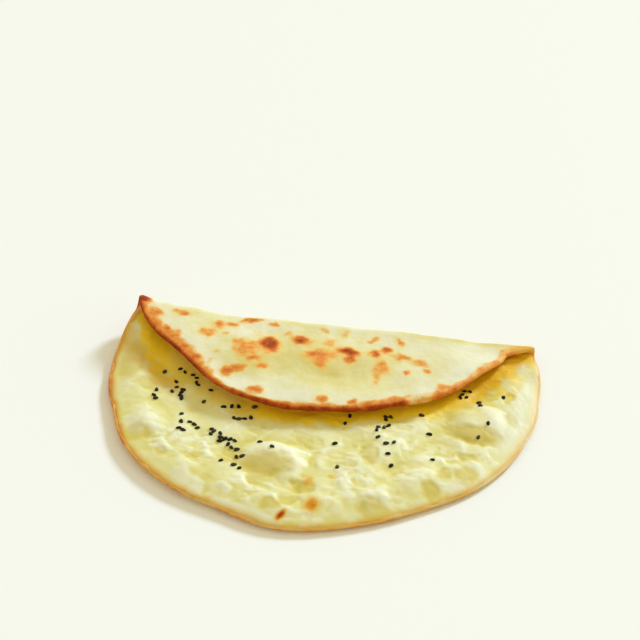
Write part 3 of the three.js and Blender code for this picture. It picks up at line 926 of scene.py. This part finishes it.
def wallField(u, v):
    walls = cheese["walls"]
    warpedU, warpedV = warped(u, v, walls["warp"])
    nearest, second = cells(warpedU, warpedV * walls["stretch"], walls["size"], 115)
    size, cut = walls["clumps"]
    return smooth(second - nearest, walls["width"], 0) * smooth(lumps(u, v, size, 116), *cut)


def cheeseWrinkles(u, v):
    wrinkles = cheese["wrinkles"]
    front = smooth(v, *wrinkles["front"])
    warpedU, warpedV = warped(u, v, wrinkles["warp"])
    relief = 0
    for atBack, atFront, size, stretch, seed in wrinkles["facets"]:
        relief = relief + lerp(atBack, atFront, front) * facets(warpedU, warpedV * stretch, size, seed)
    relief = relief + cheese["walls"]["rise"][0] * wallField(u, v)
    least, overU = wrinkles["calmLeft"]
    calm = lerp(least, 1.0, smooth(u, *overU))
    share, overCap = wrinkles["calmBlister"]
    for cap, rise in blisterCaps(u, v):
        if rise > wrinkles["calmAbove"]:
            calm = calm * (1 - share * smooth(cap, *overCap))
    relief = calm * relief + cheese["ridgeRise"][0] * ridgeField(u, v)
    relief = relief + cheese["flecks"]["rise"][0] * fleckField(u, v)
    return relief - cheese["patchDepth"] * patchAndShadeField(u, v)


def crestAndHollowShadeField(u, v):  # 0 in hollows, 1 on what stands above its surroundings; the yellow of the hollows is partly painted shade
    crest = cheese["crest"]
    step, reach = crest["step"], crest["range"]
    acrossU, acrossV = np.arange(*crest["overU"], step), np.arange(*crest["overV"], step)
    gridU, gridV = np.meshgrid(acrossU, acrossV, indexing="ij")
    heights = cheeseRelief(gridU, gridV) + cheeseWrinkles(gridU, gridV)
    above = sum(weight * (heights - blurred(heights, size / step)) for weight, size in crest["blurs"])
    above = sampled(above, (u - crest["overU"][0]) / step, (v - crest["overV"][0]) / step)
    field = smooth(above, -reach, reach) + cheese["walls"]["rise"][1] * wallField(u, v)
    field = field + cheese["ridgeRise"][1] * ridgeField(u, v)
    return field + cheese["flecks"]["rise"][1] * fleckField(u, v)


def cheeseDepth(u, v):  # distance inside the cheese's edge
    wander, size = cheese["insetWander"]
    inset = cheese["inset"] + wander * lumps(u, v, size, 91)
    depth = outlineRadius(np.arctan2(v, u)) - np.hypot(u, v) - inset
    endU = math.sqrt((dough["radius"] - cheese["inset"]) ** 2 - cheese["endsFrom"] ** 2)
    toEnd = endU - cheese["endsSlope"] * np.maximum(0, v - cheese["endsFrom"]) - np.abs(u)
    return np.where(v > cheese["endsFrom"], np.minimum(depth, toEnd), depth)


def cheeseBorder(angles):  # how far the cheese reaches from its centre, each way
    centreU, centreV = cheese["centre"]
    intoBend = dough["thickness"] / 2 + 2 * cheese["gap"][0]
    low, high = np.zeros_like(angles), np.full_like(angles, 2 * dough["radius"])
    for _ in range(cheese["borderSteps"]):
        reach = (low + high) / 2
        u, v = centreU + reach * np.cos(angles), centreV + reach * np.sin(angles)
        inside = np.minimum(cheeseDepth(u, v), foldLine(u) + bendRadius(u) - intoBend - v)
        low, high = np.where(inside > 0, reach, low), np.where(inside > 0, high, reach)
    return low


# oily yellow under the flap, painted darker and wider as the flap's shadow too
def oilAndShadeField(u, v, inFlap, fromEdge):
    oilAndShade = cheese["oilAndShade"]
    reach = stopsAlong(u, oilAndShade["reach"])
    field = smooth(fromEdge, -reach, -stopsAlong(u, oilAndShade["full"]) * reach) * stopsAlong(u, oilAndShade["share"])
    curds = smooth(layered(u, v, oilAndShade["curds"], 121), *oilAndShade["curdCut"])
    elsewhere, atLeft, overU = oilAndShade["curdShare"]
    share = lerp(elsewhere, atLeft, smooth(u, *overU))
    return field * (1 - share * curds * smooth(inFlap, *oilAndShade["curdsFrom"]))


# painted shade under the flap's right end and out from its left one
def amberShadeField(u, fromEdge):
    strength, overU, comesIn = cheese["rightAmberShade"]
    right = strength * smooth(u, *overU) * smooth(fromEdge, *comesIn)
    strength, overU, comesIn, goesOut = cheese["leftAmberShade"]
    return right + strength * smooth(u, *overU) * smooth(fromEdge, *comesIn) * smooth(fromEdge, *goesOut)


def milkyField(u, v, depth):
    strength, overDepth, (ragged, size) = cheese["milky"]
    toRight = rightRim(u, v, *cheese["rightSide"])
    milky = strength * toRight * smooth(depth + ragged * lumps(u, v, size, 141), *overDepth)
    return np.maximum(milky, cheese["ridgeRise"][2] * ridgeField(u, v))


def edgeField(u, v, depth):
    edge = cheese["edge"]
    toLeft, toRight = brownerRim(u, v), rightRim(u, v, *cheese["rightSide"])
    strength = lerp(*edge["strength"], toLeft) * lerp(1, edge["atRight"], toRight)
    width = edge["width"] + edge["wider"][0] * toLeft + edge["wider"][1] * toRight
    ragged, size = edge["ragged"]
    return strength * smooth(depth + ragged * lumps(u, v, size, 142), width, edge["full"])


def cheeseFinish():
    look = Finish("meltedCheese")
    size, shift = cheese["blotches"]
    blotch = look.vary(look.noise(size, 4), -shift, shift)
    # paler on crests and yellower in hollows, the latter partly painted shade
    curd = look.ramp(look.math("ADD", look.mark("crest"), blotch, clamp=True), cheese["curdColours"])
    colour = look.mix(look.mark("milky"), curd, rgb(*cheese["milkyColour"]))
    # yellow patches, partly painted shade
    share, thin = cheese["patchAndShadeColour"]
    colour = look.mix(look.math("MULTIPLY", look.mark("patchAndShade"), share), colour, rgb(*thin))
    edge, oilAndShade, scorch = look.mark("edge"), look.mark("oilAndShade"), look.mark("scorch")
    edgeShare = look.math("MULTIPLY", edge, cheese["edgeShare"])
    colour = look.mix(edgeShare, colour, look.ramp(edge, cheese["edgeColours"]))
    # oily yellow and painted shade under the flap
    colour = look.mix(oilAndShade, colour, look.ramp(oilAndShade, cheese["oilAndShadeColours"]))
    # darker amber painted shade at the flap's ends
    colour = look.mix(look.mark("amberShade"), colour, rgb(*cheese["amberShadeColour"]))
    size, shift = cheese["specks"]
    fine = look.noise(size, 4, 0.6)
    broken = look.math("ADD", scorch, look.vary(fine, -shift, shift))
    scorched = look.ramp(broken, cheese["scorchColours"])
    shown = look.spread(scorch, *cheese["scorchShows"])
    look.give("Base Color", look.mix(shown, colour, scorched))
    look.surface(cheese, fine)
    return look.material


def cheesePiece():
    front, halfSpan = -math.pi / 2, math.radians(cheese["frontSpan"]) / 2
    angles = np.concatenate([
        np.linspace(front - halfSpan, front + halfSpan, cheese["frontSectors"], endpoint=False),
        np.linspace(front + halfSpan, 1.5 * math.pi - halfSpan, cheese["backSectors"], endpoint=False)])
    border = cheeseBorder(angles)
    count, band, crowding = cheese["edgeRings"]
    edge = 1 - np.linspace(0, 1, count + 1)[1:] ** crowding * band
    count, within = cheese["middleRings"]
    upper = np.concatenate([
        edge, np.linspace(edge[-1], within, cheese["rings"])[1:], np.linspace(within, 0, count)[1:-1]])
    lower = np.linspace(1, 0, cheese["bottomRings"] + 1)[1:-1]
    u, v, side, share, faces = twoSkins(angles, border, cheese["centre"], upper, lower)

    depth = np.where(share == 1, 0, np.maximum(0, cheeseDepth(u, v)))
    floor, ceiling = floorAndCeiling(u, v)
    gap, gapFrom = cheese["gap"]
    under = floor + lerp(-cheese["sunk"], gap, smooth(depth, 0, gapFrom))
    inFlap = flapDepth(u, v)
    layer = cheese["thickness"] + cheeseRelief(u, v) + cheeseWrinkles(u, v)
    for dip, middleU, half, reach in cheese["dips"]:
        nearFlap = smooth(inFlap, -reach, -cheese["dipFull"] * reach)
        layer = layer - dip * np.exp(-((u - middleU) / half) ** 2) * nearFlap
    layer = np.maximum(cheese["least"], layer)
    least, edgeRounding, skirtWidth = cheese["skirt"]
    thinning = lerp(least * rounding(depth, edgeRounding), 1, smooth(depth, 0, skirtWidth))
    over = under + thinning * layer
    top = np.maximum(under, ceiling - gap)
    filled = smooth(inFlap, *cheese["fillMouth"]) * thinning
    over = np.where(inFlap > -dough["rimRounding"], lerp(np.minimum(over, top), top, filled), over)
    points = np.stack([u, v, np.where(side > 0, over, under)], -1)

    ragged, size = cheese["oilAndShade"]["ragged"]
    fromEdge = inFlap + ragged * lumps(u, v, size, 143)
    marks = {
        "crest": crestAndHollowShadeField(u, v),
        "milky": milkyField(u, v, depth),
        "patchAndShade": patchAndShadeField(u, v),
        "edge": edgeField(u, v, depth),
        "oilAndShade": oilAndShadeField(u, v, inFlap, fromEdge),
        "amberShade": amberShadeField(u, fromEdge),
        "scorch": spotField(u, v, cheese["scorches"], cheese["scorchWarp"], bread["spotFades"]),
    }
    piece = meshPiece("cheese_melted", toTable(points), faces, cheeseFinish(), marks)
    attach(piece, "root")
    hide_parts("cheese")
    return piece


# Seeds: black and dull, scattered in clusters on the cheese
seeds = {
    "size": (2.1, 3.1, 1.7),  # width, length, height
    "scale": (0.85, 1.12),
    "spacing": 2.3,
    "proud": 0.15,  # share of its height by which a seed's middle stands above the cheese
    "under": 4.0,  # how far in under the flap's edge a seed may lie
    "dropFrom": 40.0,
    "tries": 8,
    "draw": 57226,
    "round": 14,
    "rings": 9,
    "bluntness": 0.85,
    "taper": (0.34, 0.1),  # how much slimmer towards the point, and from where
    "corners": (3, 0.1, 0.6),  # soft edges along it: count, height, turn
    "clusters": [  # u, v, half length, half width, tilt, count
        (-77, -9, 6, 2, -45, 3), (-70, -17, 4, 2, -76, 3), (-83, -14, 8, 5, -38, 2),
        (-90, -33, 8, 5, -73, 3), (-78, -30, 6, 5, -75, 6), (-61, -30, 6, 1, 81, 2),
        (-44, -38, 11, 2, 10, 4), (-39, -48, 6, 3, 0, 4), (-66, -54, 11, 4, -40, 5),
        (-68, -62, 8, 1, -18, 2), (-49, -62, 6, 4, -63, 6), (-41, -69, 6, 5, -44, 6),
        (-33, -79, 3, 1, 19, 2), (-37, -86, 8, 1, -25, 3), (-22, -69, 7, 1, -33, 2),
        (37, -39, 9, 4, 70, 7), (42, -61, 13, 6, -56, 5), (78, -7, 6, 3.5, 72, 5),
        (86, -16, 5, 3, 71, 3), (17, -55, 25, 6, -90, 4), (62, -49, 26, 2, -74, 3),
        (93, -30, 31, 3, 78, 3),
    ],
    "colours": [(0.3, (14, 11, 6)), (0.6, (32, 26, 15)), (0.85, (62, 52, 34))],
    "palerColour": (0.5, (96, 84, 54)),  # some seeds come nearer to this one, up to this share
    "grain": (0.45, 0.12, 0.7),  # size, depth and strength of the bump
    "roughness": (0.5, 0.72),
    "gloss": 0.25,
}


def drawer(state):  # the same draws as the solids' seeds
    factor, modulus = 48271, 2147483647
    while True:
        state = state * factor % modulus
        yield state / modulus


def seedPlaces():
    draws = drawer(seeds["draw"])
    places = []
    for middleU, middleV, halfLength, halfWidth, tilt, count in seeds["clusters"]:
        turnCos, turnSin = math.cos(math.radians(tilt)), math.sin(math.radians(tilt))
        for i in range(count):
            for _ in range(seeds["tries"]):
                along = halfLength * (2 * (i + next(draws)) / count - 1)
                across = halfWidth * (next(draws) + next(draws) - 1)
                u = middleU + along * turnCos - across * turnSin
                v = middleV + along * turnSin + across * turnCos
                turn = 2 * math.pi * next(draws)
                scale = lerp(*seeds["scale"], next(draws))
                crowded = any(math.hypot(other[0] - u, other[1] - v) < seeds["spacing"] for other in places)
                if crowded or flapDepth(np.array(u), np.array(v)) > seeds["under"]:
                    continue
                places.append((u, v, turn, scale))
                break
    return places


def seedShape():  # one seed of unit size lying along y, blunt at one end and pointed at the other
    around = np.linspace(0, 2 * math.pi, seeds["round"], endpoint=False)
    rings = np.linspace(0, math.pi, seeds["rings"] + 2)[1:-1]
    taper, taperFrom = seeds["taper"]
    cornerCount, cornerHeight, cornerTurn = seeds["corners"]
    points = [(0, -0.5, 0)]
    for ring in rings:
        y = -math.cos(ring) / 2
        girth = math.sin(ring) ** seeds["bluntness"] / 2 * (1 - taper * (y + taperFrom))
        for angle in around:
            corner = 1 + cornerHeight * math.cos(cornerCount * angle + cornerTurn)
            points.append((girth * corner * math.cos(angle), y, girth * corner * math.sin(angle)))
    points.append((0, 0.5, 0))
    grid = 1 + np.arange(len(rings) * len(around)).reshape(len(rings), -1)
    near, far = grid[:-1], grid[1:]
    quads = np.stack([near, far, np.roll(far, -1, 1), np.roll(near, -1, 1)], -1).reshape(-1, 4).tolist()
    first = [(0, a, b) for a, b in zip(grid[0], np.roll(grid[0], -1))]
    last = [(len(points) - 1, b, a) for a, b in zip(grid[-1], np.roll(grid[-1], -1))]
    return np.array(points), quads + first + last


def seedFinish():
    look = Finish("blackSeed")
    size, depth, strength = seeds["grain"]
    grain = look.noise(size, 4, 0.65)
    share, paler = seeds["palerColour"]
    tint = look.spread(look.mark("tint"), 0.5, 1.0, 0.0, share)
    look.give("Base Color", look.mix(tint, look.ramp(grain, seeds["colours"]), rgb(*paler)))
    look.give("Specular IOR Level", seeds["gloss"])
    look.give("Roughness", look.vary(grain, *seeds["roughness"]))
    look.give("Normal", look.bump(grain, depth, strength))
    return look.material


def seedPiece(cheeseTop):
    carrier = BVHTree.FromObject(cheeseTop, bpy.context.evaluated_depsgraph_get())
    shape, shapeFaces = seedShape()
    points, faces, tints = [], [], []
    for u, v, turn, scale in seedPlaces():
        above = Vector(toTable(np.array([[u, v, seeds["dropFrom"]]]))[0])
        spot, normal, _, _ = carrier.ray_cast(above, Vector((0, 0, -1)))
        stand = Vector((0, 0, 1)).rotation_difference(normal).to_matrix()
        spin = Matrix.Rotation(turn + math.radians(dough["foldTurn"]), 3, "Z")
        size = Matrix.Diagonal([scale * side * mm for side in seeds["size"]])
        middle = spot + normal * (seeds["proud"] * seeds["size"][2] * mm)
        first = sum(len(batch) for batch in points)
        points.append(shape @ np.array(stand @ spin @ size).T + np.array(middle))
        faces.extend([first + corner for corner in face] for face in shapeFaces)
        tints.append(np.full(len(shape), turn / (2 * math.pi)))
    marks = {"tint": np.concatenate(tints)}
    piece = meshPiece("black_seeds", np.concatenate(points), faces, seedFinish(), marks)
    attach(piece, "root")


breadPiece()
cheeseTop = cheesePiece()
seedPiece(cheeseTop)


# Studio: pale floor, soft key from the back right, warm fill from all round
studio = {
    "floorSize": 8.0,
    "floorColour": (248, 252, 255),
    "floorRoughness": 0.8,
    "fillColour": (254, 242, 204),
    "fillStrength": 0.73,
    "keyColour": (214, 232, 255),
    "keyStrength": 2.8,
    "keySpread": 12.0,  # how wide the lamp looks from the table, in degrees
    "keyAzimuth": 42.0,  # right of straight back
    "keyElevation": 26.5,
}


def buildStudio():
    scene = bpy.context.scene
    half = studio["floorSize"] / 2
    corners = [(-half, -half, 0), (half, -half, 0), (half, half, 0), (-half, half, 0)]
    mesh = bpy.data.meshes.new("floor")
    mesh.from_pydata(corners, [], [(0, 1, 2, 3)])
    floor = bpy.data.objects.new("floor", mesh)
    scene.collection.objects.link(floor)
    look = Finish("paleFloor")
    look.give("Base Color", rgb(*studio["floorColour"]))
    look.give("Roughness", studio["floorRoughness"])
    mesh.materials.append(look.material)

    world = bpy.data.worlds.new("fill")
    scene.world = world
    world.use_nodes = True
    background = world.node_tree.nodes["Background"]
    background.inputs["Color"].default_value = rgb(*studio["fillColour"])
    background.inputs["Strength"].default_value = studio["fillStrength"]

    azimuth, elevation = math.radians(studio["keyAzimuth"]), math.radians(studio["keyElevation"])
    away = Vector((math.sin(azimuth) * math.cos(elevation), math.cos(azimuth) * math.cos(elevation),
                   math.sin(elevation)))
    lamp = bpy.data.lights.new("key", "SUN")
    lamp.angle = math.radians(studio["keySpread"])
    lamp.energy = studio["keyStrength"]
    lamp.color = rgb(*studio["keyColour"])[:3]
    key = bpy.data.objects.new("key", lamp)
    key.location = away
    key.rotation_euler = away.to_track_quat("Z", "Y").to_euler()
    scene.collection.objects.link(key)
    scene.view_settings.view_transform = "Standard"


# Camera: a long lens, looking down at the photo's angle
view = {
    "target": (-0.00305, 0.0929, 0.0),
    "distance": 1.045,
    "elevation": 35.6,
    "lens": 100.0,
    "sensor": 36.0,
}


def buildCamera():
    data = bpy.data.cameras.new("camera")
    data.lens = view["lens"]
    data.sensor_width = view["sensor"]
    camera = bpy.data.objects.new("camera", data)
    elevation = math.radians(view["elevation"])
    away = Vector((0, -math.cos(elevation), math.sin(elevation)))
    camera.location = Vector(view["target"]) + away * view["distance"]
    camera.rotation_euler = away.to_track_quat("Z", "Y").to_euler()
    bpy.context.scene.collection.objects.link(camera)
    bpy.context.scene.camera = camera


buildStudio()
buildCamera()
print("studio and camera placed")
